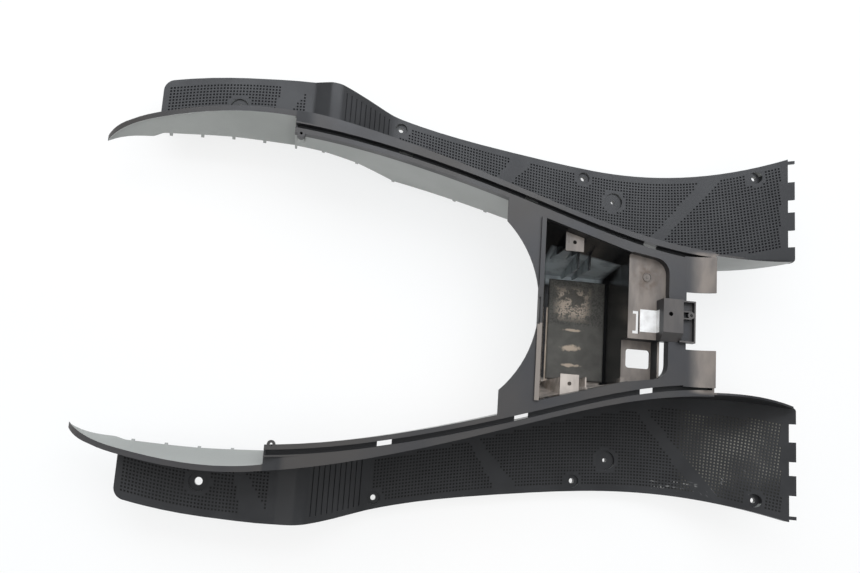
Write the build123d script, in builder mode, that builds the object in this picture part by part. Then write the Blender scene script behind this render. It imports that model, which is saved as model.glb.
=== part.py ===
"""Floorboard of a large scooter: two foot trays, the tunnel rim between them and the battery well."""
import os
from math import sqrt
from build123d import *

# X runs from the nose to the tail, Y to the rider's right and Z up. Y is zero on the middle plane,
# and Z is zero on the plane that the skirts and the bottom of the battery well stand on.

# Thicknesses of the moulding
skin = 2.8
rib = 2.0
tread_depth = 0.9

# Foot tray, seen from the side
tray_front = -405.0
platform_front_height = 63.0
platform_end = -207.0
platform_height = 67.2
ridge_start = -183.0
ridge_end = -171.0
ridge_height = 80.0
ridge_radius = 14.0
floor_start = -93.0
floor_front_height = 28.5
foot_radius = 45.0
floor_end = 204.0
floor_height = 18.5
tail_edge = 463.0
tail_tab_length = 7.0
tail_height = 110.0
skirt_depth = 16.0
skirt_radius = 20.0

# Foot tray, seen from above: its outer edge and the edge that the tunnel hides, right hand side
outer_edge = [(tray_front, 271), (-330, 285), (-261, 291), (-181, 291.5), (-73, 267.5),
              (90, 241), (251, 227.5), (360, 231), (tail_edge, 250)]
inner_edge = [(tray_front, 205), (-226, 206), (-107, 193), (134, 131), (325, 92), (400, 91),
              (tail_edge, 99)]
corner_radius = 16.0

# Ribs under the tray
rib_depth = 9.0
rib_pitch = 62.0
rib_first = -60.0
rib_count = 5
long_rib = [(rib_first, 219), (floor_end, 185)]

# Sunk tread fields, the smooth diagonal bands across them, and the grooves of the sloped toe rest
tread_border = 8.0
tread_inner_border = 15.0
tread_back = tail_edge - 7.0
platform_tread_back = -216.0
floor_tread_front = -88.0
smooth_bands = [[(-264, 214), (-244, 300), (-204, 300), (-262, 214)],
                [(30, 150), (102, 260), (139, 260), (37, 150)],
                [(262, 90), (379, 245), (400, 245), (273, 90)]]
groove_count = 10
groove_pitch = 7.0
groove_side = 1.6
first_groove = -163.0

# Screw places of a tray: X, Y, radius of the sunk seat, radius of the hole, depth of the seat
screw_places = [(-304.0, 246.0, 12.0, 5.0, 2.5), (-81.0, 255.0, 8.6, 3.6, 3.5),
                (192.0, 217.0, 8.6, 3.6, 3.5), (427.0, 226.0, 8.6, 3.6, 3.5),
                (238.0, 186.0, 13.0, 3.0, 2.5)]
screw_pad_wall = 1.8
screw_pad_depth = 9.0

# Tail tabs of a tray, from the inner to the outer side
tail_tabs = [(99.0, 122.0), (146.0, 172.0), (190.0, 216.0), (242.5, 247.0)]
tail_corner_radius = 6.0

# Rim of the tunnel
rim_height = 138.0
nose_tip = -470.0
tunnel_front = -226.0
tunnel_back = 340.0
nose_edge = [(nose_tip, 191), (-433, 211), (-395, 220), (-317, 230.5), (-262, 230.5),
             (tunnel_front, 226.5)]
rim_edge = [(tunnel_front, 226.5), (-99, 203), (63, 157.5), (227, 111), (tunnel_back, 96)]
groove_edge = [(tunnel_front, 208), (-68, 184), (93, 141.5), (255, 97.5), (tunnel_back, 88)]
nose_line = [(nose_tip, 51), (-433, 77), (-356, 100.5), (-277, 117), (-219, 132)]
nose_line_end = -170.0
nose_rise = (0.6, 1.0)
lip_width = 7.0
rim_overhang = 2.0
groove_width = 6.5
groove_depth = 10.0
inner_strip_width = 6.0
tunnel_wall_back = 108.0
tunnel_wall_line = [(tunnel_front, 84), (-188, 82), (-142, 69), (-88, 36), (tunnel_wall_back, 52)]
tunnel_wall_radius = 14.0
slot_length = 18.0
slot_stations = [-82.0, 88.0, 252.0]
cover_boss_radius = 5.0
cover_boss_depth = 26.0
cover_boss_setback = 8.0
cover_boss_offset = 1.0
cover_screw_radius = 1.8

# Wall that carries the rim on along the inner edge of the tail: its top from the side, and the
# side of the tread field beside it from above
tail_wall_line = [(tunnel_back - skin, rim_height), (372, rim_height - 1.0), (405, rim_height - 4.5),
                  (432, rim_height - 11.0), (tail_edge, tail_height + 6.0)]
tail_tread_side = [(tunnel_back, 107), (364, 112), (411, 114), (438, 117.5), (tail_edge, 123)]

# Leaning wall inside the nose: its plan at two heights, and its lower edge seen from the side
nose_foot_level = 40.0
nose_head_level = 130.0
nose_foot = [(nose_tip, 184), (-449, 191.5), (-410, 194.5), (-311, 197), (tunnel_front, 198)]
nose_head = [(nose_tip, 219), (-449, 225), (-410, 230), (-311, 232), (tunnel_front, 219)]
nose_wall_line = [(nose_tip, 45), (-413, 48.5), (-399, 56.5), (-311, 61), (tunnel_front, 62)]
nose_wall_radius = 8.0

# Pegs on the lower edges of the inside walls
peg_width = 4.0
peg_length = 5.0
peg_height = 15.0
nose_pegs = [(-390.0, 57.0), (-349.0, 59.0), (-308.0, 61.0), (-267.0, 61.5)]
tunnel_pegs = [(-188.0, 82.0), (-142.0, 69.0), (-88.0, 37.0), (-1.0, 43.0), (43.0, 47.0)]

# Bridge between the two sides of the tunnel, with its rear tabs
bridge_front = 55.0
bridge_arc_middle = 102.0
bridge_arc_radius = 150.0
bridge_back = 300.0
tab_inside = 38.0
tab_outside = 86.0
tab_end = 336.0
tab_rise = 12.0

# Opening of the bridge: right hand corners from the front to the back
opening_corners = [(106.0, 118.5), (214.0, 87.0), (276.0, 77.0)]
opening_radius = 20.0
cover_strip_width = 6.0
cover_strip_height = 3.0
cover_clip = (-22.0, 13.0)

# Battery well: a drafted tub, wider at the top
well_front_low = 146.0
well_back_low = 237.0
well_right_low = 71.0
well_left_low = -83.0
well_back_top = 225.0
well_back_half = 84.0
well_floor = 3.0
drain_radius = 3.5
drain_place = (182.0, 60.0)

# Screw tabs of the battery strap in the well
strap_tab_top = rim_height - 14.0
strap_tab_length = 25.0
strap_tab_reach = 24.0
strap_tab_middle = 150.0
strap_tab_half_span = 93.0
strap_tab_hole = 2.6
well_rib_stations = [168.0, 184.0]
well_rib_height = 80.0
well_rib_reach = 4.0

# Shelf, strap slot and pocket behind the well
shelf_top = rim_height - 12.0
shelf_side = -25.0
slot_front = 231.5
slot_back = 240.0
slot_side = (-21.0, 9.0)
slot_width = 4.0
pocket_floor = shelf_top - 22.0
pocket_back = 266.0
window_front = 231.5
window_back = 264.5
window_side = (-64.0, -39.0)
window_radius = 4.0

# Bracket block on the rear edge of the opening
bracket_front = 264.0
bracket_back = 291.0
bracket_end = 310.0
bracket_right = 25.0
bracket_left = -19.0
bracket_foot = -30.0
bracket_top = rim_height + 12.0
bracket_hole = 2.8
bracket_hole_place = (274.0, 5.0)
bracket_boss_place = (304.0, 6.0)
bracket_boss_radius = 4.6
bracket_boss_hole = 2.0
bracket_rib_height = 7.0

# Foam pad under the battery
pad_front = 151.0
pad_back = 235.0
pad_left = -78.0
pad_right = 66.0
pad_thickness = 3.0
pad_corner = 3.0

# Blank sticker on the shelf, turned up against the bracket block
label_front = 241.5
label_side = (-18.0, 11.5)
label_thickness = 0.25
label_turn_up = 10.0

# Reach of the cutting and trimming solids, well past the part
reach = 2.0 * tail_edge
tail_end = tail_edge + tail_tab_length


def moved(points, inward):
    """The same run of plan points, moved towards the middle plane."""
    return [(x, y - inward) for x, y in points]


def dropped(points, down):
    """The same run of side points, moved down."""
    return [(x, z - down) for x, z in points]


def mirrored(points):
    """The same run of plan points on the other side of the middle plane."""
    return [(x, -y) for x, y in points]


def ribbon(outside, inside, level=0.0):
    """Plan face between two runs of points."""
    with BuildSketch(Plane.XY.offset(level)) as face:
        with BuildLine():
            far = Spline(*outside)
            near = Spline(*inside)
            Line(far @ 0, near @ 0)
            Line(far @ 1, near @ 1)
        make_face()
    return face.sketch


def block(front, back, low_side, high_side, level=0.0):
    """Plan rectangle between two stations and two sides."""
    with BuildSketch(Plane.XY.offset(level)) as face:
        with Locations(((front + back) / 2, (low_side + high_side) / 2)):
            Rectangle(back - front, high_side - low_side)
    return face.sketch


def tray_corners():
    """Corners of the tray's top from the side, from the front edge to the start of the tail."""
    return [(tray_front, platform_front_height), (platform_end, platform_height),
            (ridge_start, ridge_height), (ridge_end, ridge_height),
            (floor_start, floor_front_height), (floor_end, floor_height)]


def tray_line(down):
    """Top of the tray from the side, moved down; gives its two ends."""
    radii = [ridge_radius, ridge_radius, ridge_radius, foot_radius]
    run = FilletPolyline(*dropped(tray_corners(), down), radius=radii)
    tail = TangentArc(run @ 1, (tail_end, tail_height - down), tangent=run % 1)
    return run @ 0, tail @ 1


def tray_height(station):
    """Height of the tray's top at a station of the platform, the floor or the tail."""
    corners = tray_corners()
    if station <= platform_end:
        start, end = corners[0], corners[1]
    else:
        start, end = corners[4], corners[5]
    slope = (end[1] - start[1]) / (end[0] - start[0])
    if station <= floor_end:
        return start[1] + slope * (station - start[0])
    along, up = tail_end - floor_end, tail_height - floor_height
    length = sqrt(1 + slope ** 2)
    radius = (along ** 2 + up ** 2) / (2 * (up - slope * along) / length)
    centre_x = floor_end - radius * slope / length
    centre_z = floor_height + radius / length
    return centre_z - sqrt(radius ** 2 - (station - centre_x) ** 2)


def tray_slice(top, bottom):
    """Side face of the layer of the tray between two depths under its top."""
    with BuildSketch(Plane.XZ) as face:
        with BuildLine():
            top_start, top_end = tray_line(top)
            low_start, low_end = tray_line(bottom)
            Line(top_start, low_start)
            Line(top_end, low_end)
        make_face()
    return face.sketch


def rim_line(down):
    """Top of the rim from the side, moved down; gives its two ends."""
    points = dropped(nose_line + [(nose_line_end, rim_height)], down)
    nose = Spline(*points, tangents=[nose_rise, (1, 0)])
    back = Line(nose @ 1, (tunnel_back, rim_height - down))
    return nose @ 0, back @ 1


def rim_slice(bottom):
    """Side face of the layer of the rim from its top to a depth under it."""
    with BuildSketch(Plane.XZ) as face:
        with BuildLine():
            top_start, top_end = rim_line(0)
            low_start, low_end = rim_line(bottom)
            Line(top_start, low_start)
            Line(top_end, low_end)
        make_face()
    return face.sketch


def tray_to_rim():
    """Side face from the underside of the tray up to the top of the rim."""
    with BuildSketch(Plane.XZ) as face:
        with BuildLine():
            low_start, low_end = tray_line(skin)
            Line(low_start, (tray_front, rim_height))
            Line((tray_front, rim_height), (tail_end, rim_height))
            Line((tail_end, rim_height), low_end)
        make_face()
    return face.sketch


groove_inside = moved(groove_edge, groove_width)
strip_inside = moved(groove_inside, inner_strip_width)
rim_wall = moved(rim_edge, rim_overhang)

# Plan of a tray, with its rounded front corner, and the same with the tabs of the tail
with BuildSketch() as tray_plan:
    add(ribbon(outer_edge, inner_edge))
    fillet(tray_plan.vertices().group_by(Axis.X)[0].sort_by(Axis.Y)[-1], corner_radius)

with BuildSketch() as floor_plan:
    add(tray_plan.sketch)
    for low_side, high_side in tail_tabs:
        add(block(tail_edge - skin, tail_end, low_side, high_side))
    fillet(floor_plan.vertices().group_by(Axis.X)[-1].sort_by(Axis.Y)[0], tail_corner_radius)

# Sunk fields of the tread, between the smooth borders, bands and screw rings
with BuildSketch() as tread_plan:
    add(ribbon(moved(outer_edge, tread_border), moved(inner_edge, -tread_inner_border)))
    add(block(tray_front, tray_front + tread_border, 0, reach), mode=Mode.SUBTRACT)
    add(block(platform_tread_back, floor_tread_front, 0, reach), mode=Mode.SUBTRACT)
    add(block(tread_back, reach, 0, reach), mode=Mode.SUBTRACT)
    add(ribbon(tail_tread_side, [(tunnel_back, 0), (tail_edge, 0)]), mode=Mode.SUBTRACT)
    for corners in smooth_bands:
        Polygon(*corners, align=None, mode=Mode.SUBTRACT)
    for station, side, seat, hole, depth in screw_places:
        with Locations((station, side)):
            Circle(seat + screw_pad_wall, mode=Mode.SUBTRACT)

with BuildPart() as tread:
    extrude(to_extrude=tread_plan.sketch, amount=reach)
    extrude(to_extrude=tray_slice(-tread_depth, tread_depth), amount=-reach, mode=Mode.INTERSECT)

# Grooves across the sloped toe rest
slope_run = floor_start - ridge_end
slope_drop = floor_front_height - ridge_height
with BuildPart() as toe_grooves:
    with BuildSketch(Plane.XZ):
        for number in range(groove_count):
            station = first_groove + number * groove_pitch
            height = ridge_height + slope_drop * (station - ridge_end) / slope_run
            with Locations((station, height)):
                Rectangle(groove_side, groove_side, rotation=45)
    extrude(amount=-reach)
    toe_plan = ribbon(moved(outer_edge, tread_border), moved(inner_edge, -tread_inner_border))
    extrude(to_extrude=toe_plan, amount=reach, mode=Mode.INTERSECT)

# Square pads under the screw places
with BuildPart() as screw_pads:
    with BuildSketch():
        for station, side, seat, hole, depth in screw_places:
            with Locations((station, side)):
                Rectangle(2 * (seat + screw_pad_wall), 2 * (seat + screw_pad_wall))
        add(tray_plan.sketch, mode=Mode.INTERSECT)
    extrude(amount=reach)
    extrude(to_extrude=tray_slice(skin / 2, skin + screw_pad_depth), amount=-reach, mode=Mode.INTERSECT)

# Ribs under the tray: a row across it and one along it
with BuildPart() as tray_ribs:
    with BuildSketch():
        for number in range(rib_count):
            add(block(rib_first + number * rib_pitch, rib_first + number * rib_pitch + rib, 0, reach))
        Polygon(*long_rib, *reversed(moved(long_rib, rib)), align=None)
        add(tray_plan.sketch, mode=Mode.INTERSECT)
    extrude(amount=reach)
    extrude(to_extrude=tray_slice(skin / 2, skin + rib_depth), amount=-reach, mode=Mode.INTERSECT)

# Skirt turned down along the outer edge and the front edge
with BuildSketch() as inside_skirt:
    add(ribbon(moved(outer_edge, skin), moved(inner_edge, corner_radius)))
    add(block(tray_front - skin, tray_front + skin, 0, reach), mode=Mode.SUBTRACT)
    fillet(inside_skirt.vertices().group_by(Axis.X)[0].sort_by(Axis.Y)[-1], corner_radius - skin)

with BuildPart() as skirt:
    with BuildSketch(Plane.XZ):
        with BuildLine():
            top_start, top_end = tray_line(0)
            low_corners = [(tray_front, platform_front_height - skirt_depth),
                           (platform_end, platform_height - skirt_depth),
                           (floor_start - skirt_depth, 0), (floor_end, 0)]
            low = FilletPolyline(*low_corners, radius=skirt_radius)
            low_tail = TangentArc(low @ 1, (tail_end, tail_height - skirt_depth), tangent=low % 1)
            Line(top_start, low @ 0)
            Line(top_end, low_tail @ 1)
        make_face()
    extrude(amount=-reach)
    with BuildSketch():
        add(tray_plan.sketch)
        add(inside_skirt.sketch, mode=Mode.SUBTRACT)
    extrude(amount=reach, mode=Mode.INTERSECT)

# Rim strip beside the groove, and the lip around the nose
with BuildPart() as rim:
    extrude(to_extrude=ribbon(rim_edge, groove_edge), amount=reach)
    extrude(to_extrude=ribbon(nose_edge, moved(nose_edge, lip_width)), amount=reach)
    extrude(to_extrude=rim_slice(skin), amount=-reach, mode=Mode.INTERSECT)

# Outer wall of the tunnel, from the tray up to the rim, closed at both ends
with BuildPart() as tunnel_wall:
    with BuildSketch():
        add(ribbon(rim_wall, moved(rim_wall, skin)))
        add(block(tunnel_front, tunnel_front + skin, strip_inside[0][1] + rib, rim_wall[0][1] - rib))
        add(block(tunnel_back - skin, tunnel_back, strip_inside[-1][1] + rib, rim_wall[-1][1] - rib))
    extrude(amount=reach)
    extrude(to_extrude=tray_to_rim(), amount=-reach, mode=Mode.INTERSECT)
    extrude(to_extrude=rim_slice(rim_height), amount=-reach, mode=Mode.INTERSECT)

# Wall along the inner edge of the tail
with BuildPart() as tail_wall:
    extrude(to_extrude=ribbon(moved(inner_edge, -skin), inner_edge), amount=reach)
    with BuildSketch(Plane.XZ):
        with BuildLine():
            top = Spline(*tail_wall_line)
            Polyline(top @ 0, (tunnel_back - skin, 0), (tail_edge, 0), top @ 1)
        make_face()
    extrude(amount=-reach, mode=Mode.INTERSECT)
    extrude(to_extrude=tray_to_rim(), amount=-reach, mode=Mode.INTERSECT)

# Leaning wall inside the nose, with pegs on its lower edge
with BuildPart() as nose_wall:
    add(ribbon(moved(nose_head, -skin), nose_head, nose_head_level))
    add(ribbon(moved(nose_foot, -skin), nose_foot, nose_foot_level))
    loft(ruled=True)
    with BuildSketch(Plane.XZ):
        with BuildLine():
            top_start, top_end = rim_line(0)
            low = FilletPolyline(*nose_wall_line, radius=nose_wall_radius)
            Line(top_start, low @ 0)
            Line(top_end, low @ 1)
        make_face()
        for station, height in nose_pegs:
            with Locations((station, height - peg_length)):
                Rectangle(peg_width, peg_height, align=(Align.CENTER, Align.MIN))
    extrude(amount=-reach, mode=Mode.INTERSECT)

# Groove that the edge of the tunnel cover drops into, with the inner strip beside it
channel_low = rim_height - groove_depth
channel_base = channel_low - skin
with BuildPart() as groove:
    body = ribbon(moved(groove_edge, -rib), strip_inside, channel_base)
    extrude(to_extrude=body, amount=rim_height - channel_base)
    channel = ribbon(groove_edge, groove_inside, channel_low)
    extrude(to_extrude=channel, amount=reach, mode=Mode.SUBTRACT)
    for station in slot_stations:
        slot = block(station - slot_length / 2, station + slot_length / 2, 0, reach, channel_base)
        extrude(to_extrude=slot, amount=skin, mode=Mode.SUBTRACT)

# Inner wall of the tunnel, with pegs on its lower edge
with BuildPart() as inner_wall:
    extrude(to_extrude=ribbon(moved(strip_inside, -skin), strip_inside), amount=rim_height)
    with BuildSketch(Plane.XZ):
        with BuildLine():
            low = FilletPolyline(*tunnel_wall_line, radius=tunnel_wall_radius)
            Polyline(low @ 0, (tunnel_front, rim_height), (tunnel_wall_back, rim_height), low @ 1)
        make_face()
        for station, height in tunnel_pegs:
            with Locations((station, height - peg_length)):
                Rectangle(peg_width, peg_height, align=(Align.CENTER, Align.MIN))
    extrude(amount=-reach, mode=Mode.INTERSECT)

# Screw boss for the tunnel cover at the front end of the inner strip
cover_boss_place = (tunnel_front + cover_boss_setback, strip_inside[0][1] - cover_boss_offset)
with BuildPart() as cover_boss:
    with BuildSketch(Plane.XY.offset(rim_height - cover_boss_depth)):
        with Locations(cover_boss_place):
            Circle(cover_boss_radius)
    extrude(amount=cover_boss_depth)

# Right hand side of the board
with BuildPart() as side:
    extrude(to_extrude=tray_slice(0, skin), amount=-reach)
    extrude(to_extrude=floor_plan.sketch, amount=reach, mode=Mode.INTERSECT)
    add([screw_pads.part, tray_ribs.part, skirt.part, tail_wall.part])
    add([rim.part, tunnel_wall.part, nose_wall.part, groove.part, inner_wall.part, cover_boss.part])
    add(tread.part, mode=Mode.SUBTRACT)
    add(toe_grooves.part, mode=Mode.SUBTRACT)
    for station, across, seat, hole, depth in screw_places:
        with Locations((station, across, tray_height(station))):
            CounterBoreHole(hole, seat, depth)
    with Locations((*cover_boss_place, rim_height)):
        Hole(cover_screw_radius, cover_boss_depth)

# Bridge between the sides, with the opening for the well and a collar down to the shelf
inside_run = moved(groove_inside, rib)
opening_left = [(x, -y) for x, y in reversed(opening_corners)]
with BuildSketch() as opening:
    Polygon(*opening_corners, *opening_left, align=None)
    fillet(opening.vertices().group_by(Axis.X)[-1], opening_radius)

with BuildSketch() as collar_plan:
    add(opening.sketch)
    offset(amount=skin, kind=Kind.INTERSECTION)

with BuildPart() as bridge:
    with BuildSketch(Plane.XY.offset(rim_height - skin)):
        add(ribbon(inside_run, mirrored(inside_run)))
        add(block(bridge_front, bridge_back, -reach, reach), mode=Mode.INTERSECT)
        with Locations((bridge_arc_middle - bridge_arc_radius, 0)):
            Circle(bridge_arc_radius, mode=Mode.SUBTRACT)
    extrude(amount=skin)
    extrude(to_extrude=collar_plan.sketch.moved(Location((0, 0, shelf_top - skin))),
            amount=rim_height - shelf_top + skin)
    extrude(to_extrude=opening.sketch, amount=reach, mode=Mode.SUBTRACT)

# Rear tabs of the bridge, curving up
with BuildPart() as rear_tabs:
    with BuildSketch(Plane.XZ):
        with BuildLine():
            start = (bridge_back, rim_height)
            top = TangentArc(start, (tab_end, rim_height + tab_rise), tangent=(1, 0))
            low_start = (bridge_back, rim_height - skin)
            low = TangentArc(low_start, (tab_end, rim_height + tab_rise - skin), tangent=(1, 0))
            lead = Line(start, (bridge_back - skin, rim_height))
            down = Line(lead @ 1, (bridge_back - skin, rim_height - skin))
            Line(down @ 1, low_start)
            Line(top @ 1, low @ 1)
        make_face()
    extrude(amount=reach, both=True)
    with BuildSketch():
        add(block(bridge_back - skin, tab_end, tab_inside, tab_outside))
        add(block(bridge_back - skin, tab_end, -tab_outside, -tab_inside))
    extrude(amount=reach, mode=Mode.INTERSECT)

# Battery well
well_front_top, well_front_half = opening_corners[0]


def tub(grow, low):
    """Drafted solid of the well, grown outwards, from a height up to the rim."""
    with BuildPart() as solid:
        with BuildSketch(Plane.XY.offset(low)):
            add(block(well_front_low - grow, well_back_low + grow,
                      well_left_low - grow, well_right_low + grow))
        with BuildSketch(Plane.XY.offset(rim_height)):
            front, back = well_front_top - grow, well_back_top + grow
            front_half, back_half = well_front_half + grow, well_back_half + grow
            Polygon((front, -front_half), (back, -back_half),
                    (back, back_half), (front, front_half), align=None)
        loft(ruled=True)
    return solid.part


pocket_step = pocket_floor - skin
with BuildPart() as well:
    add(tub(skin, 0))
    add(tub(0, well_floor), mode=Mode.SUBTRACT)
    with BuildSketch(Plane.XY.offset(pocket_floor)):
        add(block(well_back_top - skin, reach, -reach, shelf_side - skin))
    extrude(amount=reach, mode=Mode.SUBTRACT)
    with BuildSketch(Plane.XY.offset(shelf_top)):
        add(block(well_back_top, reach, shelf_side - skin, reach))
    extrude(amount=reach, mode=Mode.SUBTRACT)
    with BuildSketch():
        with Locations(drain_place):
            Circle(drain_radius)
    extrude(amount=well_floor, mode=Mode.SUBTRACT)

# Ribs on the two end walls of the well, and the screw tabs of the battery strap
with BuildPart() as well_fittings:
    with BuildSketch(Plane.XY.offset(well_floor)):
        for station in well_rib_stations:
            add(block(station, station + rib, well_right_low - well_rib_reach, reach))
            add(block(station, station + rib, -reach, well_left_low + well_rib_reach))
    extrude(amount=well_rib_height)
    with BuildSketch(Plane.XY.offset(strap_tab_top - skin)):
        for mirror_side in (1, -1):
            tab_edge = mirror_side * (strap_tab_half_span - strap_tab_reach / 2)
            tab_root = mirror_side * (strap_tab_half_span + strap_tab_reach)
            add(block(strap_tab_middle - strap_tab_length / 2, strap_tab_middle + strap_tab_length / 2,
                      min(tab_edge, tab_root), max(tab_edge, tab_root)))
    extrude(amount=skin)
    with BuildSketch(Plane.XY.offset(well_floor)):
        for mirror_side in (1, -1):
            post_edge = mirror_side * (strap_tab_half_span - strap_tab_reach / 3)
            post_root = mirror_side * (strap_tab_half_span + strap_tab_reach)
            for end in (-1, 1):
                middle = strap_tab_middle + end * (strap_tab_length / 2 - rib)
                add(block(middle - rib / 2, middle + rib / 2,
                          min(post_edge, post_root), max(post_edge, post_root)))
    extrude(amount=strap_tab_top - skin - well_floor)
    add(tub(skin / 2, well_floor), mode=Mode.INTERSECT)
    with BuildSketch():
        for mirror_side in (1, -1):
            with Locations((strap_tab_middle, mirror_side * strap_tab_half_span)):
                Circle(strap_tab_hole)
    extrude(amount=reach, mode=Mode.SUBTRACT)

# Shelf behind the well with the strap slot, and the pocket with its window beside it
with BuildPart() as shelf:
    with BuildSketch(Plane.XY.offset(shelf_top - skin)):
        add(collar_plan.sketch)
        add(block(well_back_top, reach, shelf_side, reach), mode=Mode.INTERSECT)
        add(block(slot_front, slot_back, *slot_side), mode=Mode.SUBTRACT)
        add(block(slot_front, slot_back - slot_width, slot_side[0] + slot_width, slot_side[1] - slot_width))
    extrude(amount=skin)
    with BuildSketch(Plane.XY.offset(pocket_step)):
        add(collar_plan.sketch)
        add(block(well_back_top, pocket_back + skin, -reach, shelf_side), mode=Mode.INTERSECT)
    extrude(amount=skin)
    with BuildSketch(Plane.XY.offset(pocket_step)):
        add(block(well_back_top, pocket_back + skin, shelf_side - skin, shelf_side))
        add(block(pocket_back, pocket_back + skin, -reach, shelf_side))
        add(collar_plan.sketch, mode=Mode.INTERSECT)
    extrude(amount=shelf_top - pocket_step)
    with BuildSketch(Plane.XY.offset(pocket_step)):
        with Locations(((window_front + window_back) / 2, sum(window_side) / 2)):
            RectangleRounded(window_back - window_front, window_side[1] - window_side[0], window_radius)
    extrude(amount=skin, mode=Mode.SUBTRACT)

# Bracket block on the rear edge of the opening, hollow from below, with a ribbed end and a screw boss
with BuildPart() as bracket:
    with BuildSketch(Plane.YZ.offset(bracket_front)):
        Polygon((bracket_right, shelf_top), (bracket_right, bracket_top), (bracket_left, bracket_top),
                (bracket_foot, rim_height), (bracket_foot, shelf_top), align=None)
    extrude(amount=bracket_back - bracket_front)
    with BuildSketch(Plane.YZ.offset(bracket_front + skin)):
        Polygon((bracket_right - skin, shelf_top), (bracket_right - skin, bracket_top - skin),
                (bracket_left + skin, bracket_top - skin), (bracket_foot + skin, rim_height - skin),
                (bracket_foot + skin, shelf_top), align=None)
    extrude(amount=bracket_back - bracket_front - 2 * skin, mode=Mode.SUBTRACT)
    with BuildSketch(Plane.XY.offset(rim_height - skin)):
        add(block(bracket_back - skin, bracket_end, bracket_foot, bracket_right))
    extrude(amount=skin)
    with BuildSketch(Plane.XY.offset(rim_height - skin)):
        add(block(bracket_back - skin, bracket_end, bracket_right - rib, bracket_right))
        add(block(bracket_back - skin, bracket_end, bracket_foot, bracket_foot + rib))
        add(block(bracket_end - rib, bracket_end, bracket_foot, bracket_right))
        for across in (-bracket_boss_radius, bracket_boss_radius):
            middle = bracket_boss_place[1] + across
            add(block(bracket_back - skin, bracket_boss_place[0], middle - rib / 2, middle + rib / 2))
        with Locations(bracket_boss_place):
            Circle(bracket_boss_radius)
    extrude(amount=skin + bracket_rib_height)
    with BuildSketch():
        with Locations(bracket_hole_place):
            Circle(bracket_hole)
        with Locations(bracket_boss_place):
            Circle(bracket_boss_hole)
    extrude(amount=reach, mode=Mode.SUBTRACT)

# Raised strip on the front edge of the opening, parted where the cover clips in
with BuildPart() as cover_strip:
    with BuildSketch(Plane.XY.offset(rim_height - skin)):
        strip_front = well_front_top - cover_strip_width
        add(block(strip_front, well_front_top, cover_clip[1], well_front_half))
        add(block(strip_front, well_front_top, -well_front_half, cover_clip[0]))
        add(block(strip_front + cover_strip_width / 2, well_front_top, *cover_clip))
    extrude(amount=skin + cover_strip_height)

# The whole moulding
with BuildPart() as floorboard:
    add(side.part)
    mirror(about=Plane.XZ)
    add([bridge.part, rear_tabs.part, well.part, well_fittings.part])
    add([shelf.part, bracket.part, cover_strip.part])

# Foam pad that the battery stands on
with BuildPart() as battery_pad:
    with BuildSketch(Plane.XY.offset(well_floor)):
        with Locations(((pad_front + pad_back) / 2, (pad_left + pad_right) / 2)):
            RectangleRounded(pad_back - pad_front, pad_right - pad_left, pad_corner)
    extrude(amount=pad_thickness)

# Blank sticker on the shelf, turned up against the front of the bracket block
with BuildPart() as blank_label:
    with BuildSketch(Plane.XZ.offset(-label_side[1])):
        Polygon((label_front, shelf_top), (bracket_front, shelf_top),
                (bracket_front, shelf_top + label_turn_up),
                (bracket_front - label_thickness, shelf_top + label_turn_up),
                (bracket_front - label_thickness, shelf_top + label_thickness),
                (label_front, shelf_top + label_thickness), align=None)
    extrude(amount=label_side[1] - label_side[0])

os.makedirs("parts", exist_ok=True)
floorboard.part.label = "floorboard"
battery_pad.part.label = "battery_pad"
blank_label.part.label = "blank_label"
for piece in (floorboard, battery_pad, blank_label):
    export_step(piece.part, f"parts/{piece.part.label}.step")
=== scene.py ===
"""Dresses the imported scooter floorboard: tread, finishes, foam pad, sticker, shelf mark and stage."""
import math
from collections import namedtuple

import bmesh
import bpy
from bpy.props import FloatProperty, FloatVectorProperty, IntProperty, PointerProperty
from mathutils import Matrix, Vector, noise
from mathutils.bvhtree import BVHTree


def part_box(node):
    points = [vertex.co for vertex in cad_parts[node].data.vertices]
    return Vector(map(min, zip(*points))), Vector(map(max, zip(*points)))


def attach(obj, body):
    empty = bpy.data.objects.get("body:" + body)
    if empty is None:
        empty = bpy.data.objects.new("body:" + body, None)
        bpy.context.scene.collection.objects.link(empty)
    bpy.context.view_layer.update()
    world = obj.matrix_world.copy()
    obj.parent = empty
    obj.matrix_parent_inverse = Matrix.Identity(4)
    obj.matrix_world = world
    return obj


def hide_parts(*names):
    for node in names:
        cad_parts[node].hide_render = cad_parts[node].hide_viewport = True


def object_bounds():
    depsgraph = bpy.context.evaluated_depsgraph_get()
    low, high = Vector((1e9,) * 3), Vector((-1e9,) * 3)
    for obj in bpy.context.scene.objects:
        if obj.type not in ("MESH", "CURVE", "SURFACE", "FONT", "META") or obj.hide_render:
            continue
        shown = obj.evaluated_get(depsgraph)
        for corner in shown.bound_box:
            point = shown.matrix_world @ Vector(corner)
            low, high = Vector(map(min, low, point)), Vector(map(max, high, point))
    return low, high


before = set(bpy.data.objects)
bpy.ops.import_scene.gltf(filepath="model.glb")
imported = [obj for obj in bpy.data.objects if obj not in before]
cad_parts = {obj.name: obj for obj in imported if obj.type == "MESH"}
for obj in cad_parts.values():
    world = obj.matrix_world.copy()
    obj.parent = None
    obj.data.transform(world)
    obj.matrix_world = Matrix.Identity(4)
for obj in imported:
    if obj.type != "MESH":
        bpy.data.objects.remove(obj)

bl_info = {
    "name": "Scooter Floorboard Dressing",
    "version": (1, 0, 0),
    "blender": (4, 5, 0),
    "location": "View3D > Sidebar > Floorboard",
    "description": "Tread, finishes, foam pad, sticker and stage for a scooter floorboard",
    "category": "Object",
}

CAD_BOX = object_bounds()
PAD_LOW, PAD_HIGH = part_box("battery_pad")
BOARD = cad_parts["floorboard"]
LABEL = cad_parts["blank_label"]
BODY = "root"
SIDES = {"right": 1, "left": -1}
MM = 0.001

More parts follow.
